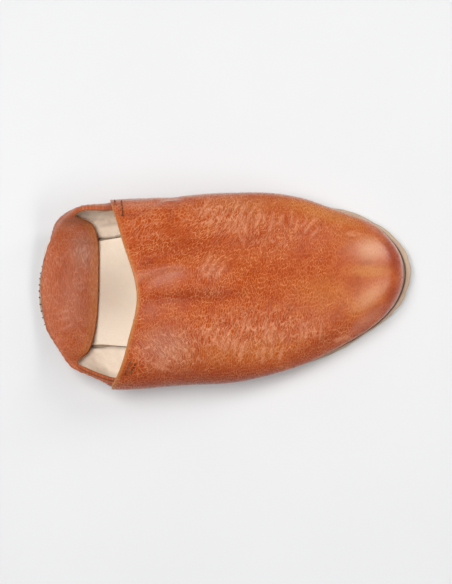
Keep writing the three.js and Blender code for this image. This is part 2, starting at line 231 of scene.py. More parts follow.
def calculate(nodes, links, operation, *values):
    """One arithmetic step on sockets or plain numbers."""
    step = add_node(nodes, "ShaderNodeMath", operation=operation)
    for socket, value in zip(step.inputs, values):
        if isinstance(value, bpy.types.NodeSocket):
            links.new(value, socket)
        else:
            socket.default_value = value
    return step.outputs[0]


def lay_over(nodes, links, colour, mask, strength, over):
    """A colour laid over another, as strong as its mask times a strength."""
    amount = calculate(nodes, links, "MULTIPLY", mask, strength)
    return blend_colour(nodes, links, "MIX", amount, colour, over)


def noise(nodes, links, vector, size, detail=3.0, roughness=0.55):
    """Cloudy noise whose patches are about one size across, in the units of its places."""
    texture = nodes.new("ShaderNodeTexNoise")
    texture.inputs["Scale"].default_value = 1 / size
    texture.inputs["Detail"].default_value = detail
    texture.inputs["Roughness"].default_value = roughness
    links.new(vector, texture.inputs["Vector"])
    return texture.outputs["Fac"]


def between(nodes, links, value, low, high, to_low=0.0, to_high=1.0):
    """A value spread smoothly from one range to another."""
    spread = add_node(nodes, "ShaderNodeMapRange", interpolation_type="SMOOTHSTEP")
    links.new(value, spread.inputs["Value"])
    for label, number in (("From Min", low), ("From Max", high), ("To Min", to_low), ("To Max", to_high)):
        spread.inputs[label].default_value = number
    return spread.outputs["Result"]


def point_value(nodes, label):
    """A value kept at the mesh's points."""
    return add_node(nodes, "ShaderNodeAttribute", attribute_name=label).outputs["Fac"]


def new_group(name, inputs, outputs):
    """A node group with number, colour or vector sockets; returns it with its inner ends."""
    group = bpy.data.node_groups.new(name, "ShaderNodeTree")
    for label, kind, value in inputs:
        socket = group.interface.new_socket(label, in_out="INPUT", socket_type=kind)
        if value is not None:
            socket.default_value = value
    for label, kind in outputs:
        group.interface.new_socket(label, in_out="OUTPUT", socket_type=kind)
    return group, group.nodes.new("NodeGroupInput").outputs, group.nodes.new("NodeGroupOutput").inputs


def use_group(nodes, links, group, **values):
    """A group placed in a material with its own values."""
    node = add_node(nodes, "ShaderNodeGroup", node_tree=group)
    for label, value in values.items():
        socket = node.inputs[label.replace("_", " ")]
        if isinstance(value, bpy.types.NodeSocket):
            links.new(value, socket)
        else:
            socket.default_value = value
    return node.outputs


def make_fibre_group():
    """Undyed leather: soft clouds, fine fibres and small pores, as masks and a height."""
    group, given, result = new_group(
        "undyed leather fibre",
        [("Vector", "NodeSocketVector", None), ("Fibre Size", "NodeSocketFloat", 0.0006)],
        [("Clouds", "NodeSocketFloat"), ("Fibres", "NodeSocketFloat"), ("Height", "NodeSocketFloat")],
    )
    nodes, links = group.nodes, group.links
    clouds = noise(nodes, links, given["Vector"], 0.018, detail=4)
    shrink = add_node(nodes, "ShaderNodeVectorMath", operation="SCALE")
    links.new(given["Vector"], shrink.inputs[0])
    links.new(calculate(nodes, links, "DIVIDE", 1.0, given["Fibre Size"]), shrink.inputs["Scale"])
    fibres = noise(nodes, links, shrink.outputs[0], 1.0, detail=5, roughness=0.7)
    pores = add_node(nodes, "ShaderNodeTexVoronoi")
    pores.inputs["Scale"].default_value = 1.3
    links.new(shrink.outputs[0], pores.inputs["Vector"])
    pits = between(nodes, links, pores.outputs["Distance"], 0.0, 0.35)
    links.new(clouds, result["Clouds"])
    links.new(fibres, result["Fibres"])
    height = calculate(nodes, links, "MULTIPLY_ADD", pits, 0.5, fibres)
    links.new(height, result["Height"])
    return group


undyed_fibre = make_fibre_group()


def add_bump(nodes, links, shader, height, distance):
    bump = nodes.new("ShaderNodeBump")
    bump.inputs["Distance"].default_value = distance
    links.new(height, bump.inputs["Height"])
    links.new(bump.outputs["Normal"], shader.inputs["Normal"])


def make_sole_leather():
    material, nodes, links, shader = new_material("sole leather")
    place = nodes.new("ShaderNodeTexCoord").outputs["Object"]
    fibre = use_group(nodes, links, undyed_fibre, Vector=place, Fibre_Size=0.0007)
    tones = [(0.3, (0.50, 0.37, 0.26)), (0.55, (0.57, 0.44, 0.32)), (0.75, (0.62, 0.50, 0.38))]
    natural = colour_ramp(nodes, tones)
    links.new(fibre["Clouds"], natural.inputs[0])
    colour = natural.outputs[0]
    streaks = between(nodes, links, fibre["Fibres"], 0.35, 0.7, 0.86, 1.06)
    colour = blend_colour(nodes, links, "MULTIPLY", 1.0, colour, streaks)
    # painted shade: the inseam channel and the strip under the upper are darkened near black, standing in
    # for the shadow in the crevice
    channel_shade = point_value(nodes, "channel_shade")
    channel_shade_strength = between(nodes, links, fibre["Fibres"], 0.2, 0.7, 0.8, 1.15)
    colour = lay_over(nodes, links, colour, channel_shade, channel_shade_strength, (0.035, 0.014, 0.007))
    colour = lay_over(nodes, links, colour, point_value(nodes, "rubbed"), 0.55, (0.33, 0.20, 0.11))
    scuff = between(nodes, links, noise(nodes, links, place, 0.009, detail=6, roughness=0.7), 0.5, 0.62)
    colour = lay_over(nodes, links, colour, point_value(nodes, "wear_and_crease_shade"), scuff, (0.16, 0.105, 0.07))
    links.new(colour, shader.inputs["Base Color"])
    links.new(between(nodes, links, fibre["Fibres"], 0.2, 0.8, 0.62, 0.85), shader.inputs["Roughness"])
    shader.inputs["Specular IOR Level"].default_value = 0.35
    add_bump(nodes, links, shader, fibre["Height"], 0.00018)
    return material


def make_outsole():
    steps = 220
    edge = outline(SOLE_EDGE, steps)
    # the knife's small unevenness round the edge
    angle = np.linspace(0, 2 * math.pi, len(edge), endpoint=False)
    knife = sum(size * np.sin(turns * angle + phase) for size, turns, phase in
                ((0.16, 23, 0.4), (0.11, 37, 2.1), (0.07, 61, 4.0)))
    edge = inset(edge, knife * MM)
    foot = outline(FOOT_LINE, steps)
    # the channel beside the foot line, narrower where the rim is narrow
    rim = edge - foot
    reach = np.linalg.norm(rim, axis=1, keepdims=True)
    rim /= reach
    lip = foot + rim * np.minimum(2.2 * MM, 0.42 * reach)
    floor = foot + rim * np.minimum(1.85 * MM, 0.36 * reach)
    fold = foot + rim * np.minimum(1.5 * MM, 0.3 * reach)
    under = foot - rim * 1.2 * MM
    top = SOLE_THICKNESS
    plain = {"channel_shade": 0, "rubbed": 0, "wear_and_crease_shade": 0}
    loops = [(towards_middle(edge, share), 0.0, plain | {"wear_and_crease_shade": 1}) for share in (1, 0.75, 0.5, 0.3, 0.15)]
    side = [
        # inwards and up in millimetres, then how much it is rubbed and worn
        (1.6, 0, 0, 1), (0.6, 0.12, 0.4, 0.9), (0.15, 0.6, 1, 0.3), (0, 1.6, 0.5, 0), (0.05, 3.2, 0.3, 0),
        (0.12, 4.3, 0.6, 0), (0.4, 4.8, 1, 0), (0.8, 5.0, 0.7, 0), (1.3, 5.02, 0.2, 0),
    ]
    for inwards, height, rubbed, wear_and_crease_shade in side:
        drawn = np.minimum(inwards * MM, 0.35 * reach[:, 0])
        loops.append((inset(edge, drawn), height * MM, plain | {"rubbed": rubbed, "wear_and_crease_shade": wear_and_crease_shade}))
    loops += [
        # the channel's rows carry painted shade, strongest on its floor and under the upper
        (lip + rim * 0.12 * reach, top, plain | {"channel_shade": 0.05}),
        (lip, top - 0.05 * MM, plain | {"channel_shade": 0.5}),
        (floor, top - 1.3 * MM, plain | {"channel_shade": 1}),
        (fold, top - 0.2 * MM, plain | {"channel_shade": 0.35}),
        (under, top - 1.3 * MM, plain | {"channel_shade": 1}),
        (under - rim * 1.0 * MM, top, plain | {"channel_shade": 0.3}),
        (towards_middle(under, 0.5), top, plain),
        (towards_middle(under, 1), top, plain),
    ]
    piece = loop_piece("outsole_slab", loops, make_sole_leather())
    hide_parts("outsole")


make_outsole()

# ------------------------------------------------------------------------------------------- Insole
# A thin sheet of pale, undyed leather laid on the sole between the walls of the upper. It is pressed
# down a little where heel and ball have stood, and greyed there by wear.
GAP = 0.3 * MM
WALL = 2 * MM
INSOLE_THICKNESS = 1.7 * MM


def make_pale_leather(name, light, dark, wrinkle_size):
    """Thin undyed skin: matt and pale, a little wrinkled, darker where a foot has rubbed it, and painted
    with shade along its creases.
    """
    material, nodes, links, shader = new_material(name)
    place = nodes.new("ShaderNodeTexCoord").outputs["Object"]
    fibre = use_group(nodes, links, undyed_fibre, Vector=place, Fibre_Size=0.00045)
    shade = colour_ramp(nodes, [(0.25, dark), (0.6, light)])
    links.new(fibre["Clouds"], shade.inputs[0])
    speckle = between(nodes, links, fibre["Fibres"], 0.3, 0.7, 0.93, 1.04)
    colour = blend_colour(nodes, links, "MULTIPLY", 1.0, shade.outputs[0], speckle)
    colour = lay_over(nodes, links, colour, point_value(nodes, "wear_and_crease_shade"), 0.5, (0.40, 0.27, 0.19))
    colour = lay_over(nodes, links, colour, point_value(nodes, "cut"), 0.6, (0.30, 0.17, 0.10))
    links.new(colour, shader.inputs["Base Color"])
    shader.inputs["Roughness"].default_value = 0.72
    shader.inputs["Specular IOR Level"].default_value = 0.3
    shader.inputs["Sheen Weight"].default_value = 0.12
    wrinkle = noise(nodes, links, place, wrinkle_size, detail=4, roughness=0.6)
    height = calculate(nodes, links, "MULTIPLY_ADD", wrinkle, 4.0, fibre["Height"])
    add_bump(nodes, links, shader, height, 0.00012)
    return material


def smooth_step(low, high, value):
    t = np.clip((value - low) / (high - low), 0, 1)
    return t * t * (3 - 2 * t)


def foot_pressure(x, y):
    """How firmly the foot has pressed: 1 under heel and ball, fading to nothing at the edges."""
    place = (x - HEEL_END) / LENGTH
    across = (y - MIDLINE) / BALL_WIDTH
    heel = np.exp(-(((place - 0.17) / 0.11) ** 2) - ((across + 0.04) / 0.22) ** 2)
    ball = np.exp(-(((place - 0.66) / 0.13) ** 2) - ((across + 0.03) / 0.33) ** 2)
    return np.clip(heel + ball, 0, 1)


def make_insole():
    steps = 160
    foot = outline(FOOT_LINE, steps)
    place = (foot[:, 0] - HEEL_END) / LENGTH
    # narrower beside the wings, where the upper's walls are doubled
    doubled = smooth_step(0.12, 0.17, place) * (1 - smooth_step(0.29, 0.34, place))
    edge = inset(foot, 1.6 * WALL + 0.9 * WALL * doubled - 0.6 * MM)
    low = SOLE_THICKNESS + GAP
    high = low + INSOLE_THICKNESS
    rows = [(towards_middle(edge, 1), low), (edge, low), (edge, high - 0.4 * MM)]
    rows.append((inset(edge, 0.35 * MM), high))
    rows += [(towards_middle(edge, share), high) for share in np.linspace(0.05, 1, 26)]
    points, wear_and_crease_shade, cut = [], [], []
    for number, (loop, height) in enumerate(rows):
        pressure = foot_pressure(loop[:, 0], loop[:, 1])
        dent = 0.35 * MM * pressure if number > 3 else 0
        points.append(np.column_stack([loop, ground_line(loop[:, 0]) + height - dent]))
        wear_and_crease_shade.append(pressure if number > 2 else np.zeros(len(loop)))
        cut.append(np.full(len(loop), 1.0 if number < 3 else 0.0))
    material = make_pale_leather("insole leather", (0.93, 0.79, 0.64), (0.88, 0.73, 0.58), 0.006)
    values = {"wear_and_crease_shade": np.concatenate(wear_and_crease_shade), "cut": np.concatenate(cut)}
    faces = ring_faces(len(rows), len(edge))
    piece = make_piece("insole_sheet", np.concatenate(points), faces, values, material)
    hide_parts("insole")


make_insole()

# --------------------------------------------------------------------------------------------- Vamp
# Supple cognac leather over toes and instep, lasted wet, so it swells past the sole on both sides.
# It is turned in at the sole, cut clean at the throat, and reaches back in a wing on each side.
INSTEP_HEIGHT = 55 * MM
LEATHER = 1.3 * MM
VAMP_SECTIONS = {
    "at": [0.148, 0.211, 0.352, 0.5, 0.611, 0.704, 0.779, 0.847, 0.904, 0.942, 0.966, 0.978],
    "medial": [0.494, 0.503, 0.507, 0.522, 0.521, 0.484, 0.426, 0.368, 0.306, 0.218, 0.133, 0.017],
    "lateral": [-0.603, -0.645, -0.638, -0.63, -0.59, -0.529, -0.457, -0.377, -0.289, -0.202, -0.106,
                0.017],
    "belly": [0.4, 0.38, 0.355, 0.327, 0.3, 0.255, 0.21, 0.173, 0.145, 0.11, 0.073, 0],
    "crest": [1.02, 1.01, 0.965, 0.89, 0.8, 0.705, 0.62, 0.54, 0.455, 0.37, 0.25, 0],
}
THROAT_EDGE = {
    "across": [-0.645, -0.53, -0.386, -0.1, 0.247, 0.4, 0.503],
    "at": [0.196, 0.224, 0.247, 0.2755, 0.24, 0.222, 0.208],
}
BELLY_TURN = 0.72
ARCH_FULLNESS = 2.25
SPRING_OFF = 0.35
VAMP_TIP = FOOT_LINE["at"][-1]
foot_sides = [section_curve(FOOT_LINE, side) for side in ("medial", "lateral")]
belly_sides = [section_curve(VAMP_SECTIONS, side) for side in ("medial", "lateral")]
belly_height = section_curve(VAMP_SECTIONS, "belly")
crest_height = section_curve(VAMP_SECTIONS, "crest")
throat_place = smooth_curve(THROAT_EDGE["across"], THROAT_EDGE["at"])


def vamp_point(place, turn):
    """The outside of the vamp; turn is -1 on the outer foot line, 0 on the crest and 1 on the inner one."""
    place, turn = np.broadcast_arrays(np.asarray(place, float), np.asarray(turn, float))
    share = np.abs(turn)
    x = along_x(place)
    base = ground_line(x) + SOLE_THICKNESS + GAP
    belly = across_y(np.where(turn < 0, belly_sides[1](place), belly_sides[0](place)))
    foot = across_y(np.where(turn < 0, foot_sides[1](place), foot_sides[0](place)))
    middle = across_y((belly_sides[0](place) + belly_sides[1](place)) / 2)
    belly_z = base + belly_height(place) * INSTEP_HEIGHT
    crest_z = base + crest_height(place) * INSTEP_HEIGHT
    t = np.clip((1 - share) / (1 - BELLY_TURN), 0, 1)
    low_y = (1 - t) ** 2 * foot + (1 - (1 - t) ** 2) * belly
    low_z = base + (2 * t * (1 - t) * SPRING_OFF + t**2) * (belly_z - base)
    angle = np.clip(1 - share / BELLY_TURN, 0, 1) * math.pi / 2
    power = 2 / ARCH_FULLNESS
    high_y = middle + (belly - middle) * np.cos(angle) ** power
    high_z = belly_z + (crest_z - belly_z) * np.sin(angle) ** power
    below = share > BELLY_TURN
    return np.stack([x, np.where(below, low_y, high_y), np.where(below, low_z, high_z)], axis=-1)


def vamp_grid(reach, columns):
    """The vamp's places from throat (reach 0) to tip (1), round it from the outer to the inner side."""
    turn = np.linspace(-1, 1, columns)[None, :]
    level = np.clip(turn, -BELLY_TURN, BELLY_TURN)
    start = throat_place((vamp_point(0.24, level)[..., 1] - MIDLINE) / BALL_WIDTH)
    place = start + (VAMP_TIP - start) * reach
    return turn, place, vamp_point(place, np.broadcast_to(turn, place.shape))


def grid_normals(grid):
    """The direction out of a surface given as a grid of points."""
    down = np.gradient(grid, axis=0)
    over = np.gradient(grid, axis=1)
    normal = np.cross(down, over)
    size = np.linalg.norm(normal, axis=-1, keepdims=True)
    return np.where(size > 1e-13, normal / np.maximum(size, 1e-13), np.array([1.0, 0.0, 0.0]))


def sheet_piece(name, outer, inner, values, material, rounding=5):
    """A sheet of leather between two grids of points, its first row a cut edge with rounded corners."""
    rows, columns = outer.shape[:2]
    middle = (outer[0] + inner[0]) / 2
    half = (outer[0] - inner[0]) / 2
    outwards = unit(middle - (outer[1] + inner[1]) / 2)
    depth = np.linalg.norm(half, axis=-1, keepdims=True)
    turns = np.linspace(0, math.pi, rounding + 2)[1:-1]
    cut = [middle - half * math.cos(a) + outwards * depth * math.sin(a) for a in turns]
    body = np.concatenate([outer, inner[::-1], np.array(cut)])
    total = len(body)
    index = np.arange(total * columns).reshape(total, columns)
    below = np.roll(index, -1, axis=0)
    faces = np.stack([index[:, :-1], below[:, :-1], below[:, 1:], index[:, 1:]], axis=-1).reshape(-1, 4)
    ends = []
    for column in (0, columns - 1):
        near, far = index[:rows, column], index[rows:2 * rows, column][::-1]
        ends.append(np.stack([near[:-1], near[1:], far[1:], far[:-1]], axis=-1))
    faces = np.concatenate([faces, *ends])
    spread = {}
    for label, (on_outer, on_inner, on_cut) in values.items():
        outer_rows = np.broadcast_to(on_outer, (rows, columns))
        inner_rows = np.broadcast_to(on_inner, (rows, columns))[::-1]
        spread[label] = np.concatenate([outer_rows, inner_rows, np.full((rounding, columns), on_cut)])
    return make_piece(name, body.reshape(-1, 3), faces, spread, material)


# Soft folds of the vamp: start and end in millimetres from the heel end and across from
# the midline, how far the fold bows, its half width and its depth (raised where the depth is negative)
VAMP_FOLDS = [
    # start, end, bow, half width, depth
    ((58, 50), (84, 50), -3, 3.0, 1.1),
    ((84, 50), (106, 57), 3, 2.6, 1.0),
    ((64, 55), (100, 56), -2, 3.5, -0.6),
    ((77, -8), (104, 3), 3, 2.4, 1.0),
    ((78, -14), (142, -14), -2, 5.0, 1.3),
    ((76, 0), (118, 5), 3, 5.0, -1.3),
    ((70, 10), (96, 28), 6, 6.0, 0.6),
    ((66, -50), (110, -44), 5, 8.0, 0.8),
    ((110, -30), (190, -22), -6, 9.0, 0.6),
    ((196, -50), (228, -30), -4, 5.0, 0.6),
    ((200, 46), (232, 34), 4, 5.0, 0.5),
    ((96, 34), (99, 54), 0, 3.0, 0.6),
]
# Short wrinkles side by side: the centre of the row, their length, how many degrees they lean from
# straight across, how many there are, how far apart and how high
VAMP_WRINKLES = [
    # centre, length, lean, count, spacing, height
    ((130, 42), 19, 34, 8, 3.6, 0.24),
    ((150, 40), 22, 20, 6, 4.0, 0.2),
    ((148, 31), 14, -22, 2, 5.0, 0.2),
    ((174, 37), 15, 12, 5, 6.0, 0.2),
    ((195, 33), 15, 38, 3, 5.0, 0.18),
    ((124, 6), 16, 34, 3, 4.6, 0.2),
    ((128, -42), 13, 18, 6, 5.0, 0.16),
    ((158, -38), 15, 10, 7, 4.8, 0.18),
    ((150, -52), 12, 12, 8, 5.6, 0.16),
    ((192, -40), 12, 2, 4, 6.0, 0.16),
    ((96, -54), 14, -36, 7, 3.6, 0.22),
    ((224, 30), 10, 82, 3, 2.4, 0.16),
    ((238, -12), 9, 84, 2, 2.8, 0.16),
    ((216, -46), 12, 70, 2, 2.4, 0.16),
]
chance = np.random.default_rng(11)


def plan_millimetres(points):
    """Plan places of points, in millimetres from the heel end and across from the midline."""
    return np.stack([(points[..., 0] - HEEL_END) / MM, (points[..., 1] - MIDLINE) / MM], axis=-1)


def fold_shape(plan, start, end, bow, half_width):
    """A soft line between two places: 1 along its middle, fading to its sides and both ends."""
    start, end = np.array(start, float), np.array(end, float)
    run = end - start
    length = np.linalg.norm(run)
    run /= length
    along = (plan - start) @ run / length
    side = (plan - start) @ np.array([-run[1], run[0]]) - bow * 4 * along * (1 - along)
    fade = smooth_step(-0.12, 0.22, along) * (1 - smooth_step(0.78, 1.12, along))
    return fade * np.exp(-((side / half_width) ** 2))


def wrinkle_lines(rows):
    """Single wrinkles worked out from rows of side-by-side ones, each a little out of line."""
    for (x, y), length, lean, count, spacing, height in rows:
        tilt = math.radians(lean)
        step = np.array([math.cos(tilt), -math.sin(tilt)])
        for number in range(count):
            own = tilt + chance.normal(0, 0.1)
            half = np.array([math.sin(own), math.cos(own)]) * length * chance.uniform(0.22, 0.58)
            shift = step * spacing * (number - (count - 1) / 2) + chance.normal(0, 1.4, 2)
            middle = np.array([x, y]) + shift
            sway = chance.normal(0, 0.7)
            yield middle - half, middle + half, sway, chance.uniform(0.7, 1.05), height


def hand_unevenness(points, sizes, height):
    """The slow rise and fall of leather shaped by hand, from a few waves in every direction."""
    rise = np.zeros(points.shape[:-1])
    for _ in range(14):
        direction = unit(chance.normal(0, 1, 3))
        wave = 2 * math.pi / (chance.uniform(*sizes) * MM)
        rise += np.sin(points @ direction * wave + chance.uniform(0, 2 * math.pi))
    return rise * height / 4


def make_grain_group():
    """Tanned grain, from places across and along its wrinkles: veins, long wrinkles and mottling."""
    group, given, result = new_group(
        "tanned grain",
        [("Across", "NodeSocketFloat", 0.0), ("Along", "NodeSocketFloat", 0.0),
         ("Wrinkled", "NodeSocketFloat", 0.0), ("Cell Size", "NodeSocketFloat", 2.0),
         ("Draw", "NodeSocketFloat", 1.7)],
        [("Veins", "NodeSocketFloat"), ("Wrinkles", "NodeSocketFloat"), ("Cells", "NodeSocketFloat"),
         ("Mottle", "NodeSocketFloat"), ("Blotch", "NodeSocketFloat"), ("Height", "NodeSocketFloat")],
    )
    nodes, links = group.nodes, group.links
    flat = nodes.new("ShaderNodeCombineXYZ")
    links.new(given["Across"], flat.inputs[0])
    links.new(given["Along"], flat.inputs[1])
    warp = nodes.new("ShaderNodeTexNoise")
    warp.inputs["Scale"].default_value = 0.24
    warp.inputs["Detail"].default_value = 4
    links.new(flat.outputs[0], warp.inputs["Vector"])
    pulled = add_node(nodes, "ShaderNodeVectorMath", operation="MULTIPLY_ADD")
    links.new(warp.outputs["Color"], pulled.inputs[0])
    pulled.inputs[1].default_value = (4.0, 4.0, 0)
    links.new(flat.outputs[0], pulled.inputs[2])
    parts = nodes.new("ShaderNodeSeparateXYZ")
    links.new(pulled.outputs[0], parts.inputs[0])

    def cell_edges(width, length, line):
        place = nodes.new("ShaderNodeCombineXYZ")
        links.new(calculate(nodes, links, "DIVIDE", parts.outputs[0], width), place.inputs[0])
        links.new(calculate(nodes, links, "DIVIDE", parts.outputs[1], length), place.inputs[1])
        cells = add_node(nodes, "ShaderNodeTexVoronoi", feature="DISTANCE_TO_EDGE", voronoi_dimensions="2D")
        cells.inputs["Scale"].default_value = 1
        links.new(place.outputs[0], cells.inputs["Vector"])
        from_line = cells.outputs["Distance"]
        return between(nodes, links, from_line, 0.0, line, 1.0, 0.0), from_line

    drawn = calculate(nodes, links, "MULTIPLY", given["Cell Size"], given["Draw"])
    fine, depth = cell_edges(given["Cell Size"], drawn, 0.13)
    wide = calculate(nodes, links, "MULTIPLY", given["Cell Size"], 1.25)
    long, _ = cell_edges(wide, calculate(nodes, links, "MULTIPLY", drawn, 3.2), 0.17)
    blotch = noise(nodes, links, flat.outputs[0], 11.765, detail=3, roughness=0.5)
    dense = between(nodes, links, blotch, 0.35, 0.65, 0.35, 1.0)
    fine = calculate(nodes, links, "MULTIPLY", fine, dense)
    long = calculate(nodes, links, "MULTIPLY", long, given["Wrinkled"])
    links.new(fine, result["Veins"])
    links.new(long, result["Wrinkles"])
    links.new(between(nodes, links, depth, 0.1, 0.5), result["Cells"])
    links.new(noise(nodes, links, flat.outputs[0], 4.5455, detail=5, roughness=0.65), result["Mottle"])
    links.new(blotch, result["Blotch"])
    pores = noise(nodes, links, flat.outputs[0], 0.625, detail=4, roughness=0.5)
    relief = calculate(nodes, links, "MULTIPLY", fine, 0.7)
    relief = calculate(nodes, links, "MULTIPLY_ADD", long, 1.4, relief)
    links.new(calculate(nodes, links, "MULTIPLY_ADD", pores, 0.2, relief), result["Height"])
    return group


tanned_grain = make_grain_group()


def make_tan_leather(name, hide_tones, vein, crest, cell_size, draw, dullness, shine):
    """Waxed cognac leather, with the colours of its hide, its fine veins and its wrinkles' crests, and
    painted highlight, sheen and shade laid over them.
    """
    material, nodes, links, shader = new_material(name)
    grain = use_group(
        nodes, links, tanned_grain, Across=point_value(nodes, "across"), Along=point_value(nodes, "along"),
        Wrinkled=point_value(nodes, "wrinkled"), Cell_Size=cell_size, Draw=draw,
    )
    half_mottle = calculate(nodes, links, "MULTIPLY", grain["Mottle"], 0.5)
    hide = colour_ramp(nodes, list(zip((0.34, 0.5, 0.68), hide_tones)))
    links.new(calculate(nodes, links, "MULTIPLY_ADD", grain["Blotch"], 0.5, half_mottle), hide.inputs[0])
    taut = point_value(nodes, "taut")
    # painted sheen: a pale veil mixed into the colour at glancing angles, on the lit side only
    glancing = between(nodes, links, nodes.new("ShaderNodeLayerWeight").outputs["Facing"], 0.45, 0.9)
    glancing_sheen = calculate(nodes, links, "MULTIPLY", glancing, point_value(nodes, "lit_side"))
    colour = hide.outputs[0]
    for mask, strength, over in (
        # lighter tone, and painted highlight where the toe windows reflect
        (point_value(nodes, "pale"), 0.75, (0.52, 0.20, 0.04)),
        # partly the hide's darker tone, mostly painted shade on the low sides, in the folds' troughs and
        # round the toe's edge
        (point_value(nodes, "darker_tone_and_shade"), 0.85, (0.23, 0.024, 0.001)),
        # the cells darken towards their middles: painted shade in the hollows between the raised veins
        (grain["Cells"], 0.4, hide_tones[0]),
        # the veins and wrinkles are lighter, partly in tone and partly as painted glint where the raised
        # lines catch the light
        (grain["Veins"], between(nodes, links, taut, 0.0, 1.0, 0.8, 0.2), vein),
        (grain["Wrinkles"], 0.66, crest),
        (point_value(nodes, "ridge"), 0.36, crest),
        # painted sheen: pale veils where the room's light is reflected
        (point_value(nodes, "painted_sheen"), 0.35, (0.46, 0.25, 0.19)),
        (glancing_sheen, 0.5, (0.60, 0.41, 0.33)),
        (point_value(nodes, "cut"), 1.0, (0.50, 0.21, 0.065)),
        # painted shade: dark in the sunken hem line
        (point_value(nodes, "groove_shade"), 1.0, (0.05, 0.018, 0.008)),
    ):
        colour = lay_over(nodes, links, colour, mask, strength, over)
    links.new(colour, shader.inputs["Base Color"])
    uneven = between(nodes, links, grain["Mottle"], 0.3, 0.7, dullness - 0.05, dullness + 0.07)
    rough = calculate(nodes, links, "MULTIPLY_ADD", grain["Veins"], 0.06, uneven)
    links.new(rough, shader.inputs["Roughness"])
    shader.inputs["Specular IOR Level"].default_value = shine
    links.new(between(nodes, links, taut, 0.2, 1.0, 0.0, 0.65), shader.inputs["Coat Weight"])
    shader.inputs["Coat Roughness"].default_value = 0.3
    slack = between(nodes, links, taut, 0.0, 1.0, 1.0, 0.12)
    add_bump(nodes, links, shader, calculate(nodes, links, "MULTIPLY", grain["Height"], slack), 0.0002)
    return material


def soft_patches(plan, rows):
    """Soft oval patches: centre, half length, half width, lean in degrees and strength, in millimetres."""
    total = np.zeros(plan.shape[:-1])
    for centre, half_length, half_width, lean, strength in rows:
        tilt = math.radians(lean)
        run = np.array([math.cos(tilt), math.sin(tilt)])
        off = plan - np.array(centre, float)
        far = ((off @ run) / half_length) ** 2 + ((off @ np.array([-run[1], run[0]])) / half_width) ** 2
        total = np.maximum(total, strength * np.exp(-(far**1.3)))
    return total


def bell(value, centre, width):
    return np.exp(-(((value - centre) / width) ** 2))


# where the leather is darker (its tone, and painted shade), lighter (its tone, and painted highlight),
# painted with sheen, or close-wrinkled
VAMP_PATCHES = {
    # centre, half length, half width, lean, strength
    # darker tone in a few small marks; painted shade in the fold beside the throat, along the outer side's
    # low edge and round the toe's edge
    "darker_tone_and_shade": [
        ((104, 20), 30, 9, 0, 0.6), ((112, -14), 36, 5, 2, 0.95), ((196, -52), 26, 6, 28, 0.75),
        ((120, -73), 80, 12, -2, 1.0), ((254, 12), 4.5, 16, 12, 0.95), ((251, -18), 4.5, 16, -24, 0.8),
        ((82, 10), 6, 4, 20, 0.9), ((98, 42), 3, 10, 0, 0.35), ((150, 24), 14, 6, 10, 0.3),
    ],
    # lighter tone along the sides and between the toe's highlights, and painted highlight under the toe
    # windows' reflections
    "pale": [
        ((236, 1), 16, 5, 0, 0.9), ((237, 17), 11, 10, 0, 0.95), ((234, -18), 17, 7, 36, 0.85),
        ((206, 44), 34, 7, -18, 0.75), ((228, 22), 16, 14, 0, 0.35),
        ((205, -14), 24, 12, -8, 0.4), ((232, -18), 18, 12, 30, 0.35), ((150, 50), 34, 7, 0, 0.3),
        ((150, -52), 40, 8, 4, 0.3),
    ],
    # painted sheen where the lights reflect: on the throat's puckers, the outer rear, the inner wing's fold
    # and the toe's edges
    "painted_sheen": [
        ((92, 1), 15, 6, 6, 0.65), ((124, 3), 8, 5, 0, 0.4), ((90, -46), 18, 14, 10, 0.8),
        ((80, 52), 24, 3, 0, 0.8), ((232, -34), 16, 4, 38, 0.8), ((240, 34), 10, 3, -45, 0.7),
        ((82, -24), 8, 8, 0, 0.4), ((237, 17), 11, 11, 0, 0.5),
    ],
    "taut": [
        ((244, -2), 30, 36, 0, 1.0), ((226, 0), 22, 24, 0, 0.8),
    ],
    "wrinkled": [
        ((138, 42), 30, 17, 0, 0.85), ((165, 30), 28, 15, 0, 0.6), ((150, -40), 60, 17, 5, 0.75),
        ((98, -50), 26, 14, 0, 0.95), ((124, 2), 14, 14, 0, 0.45), ((80, 36), 14, 12, 0, 0.5),
        ((205, 34), 14, 8, -20, 0.4),
    ],
}


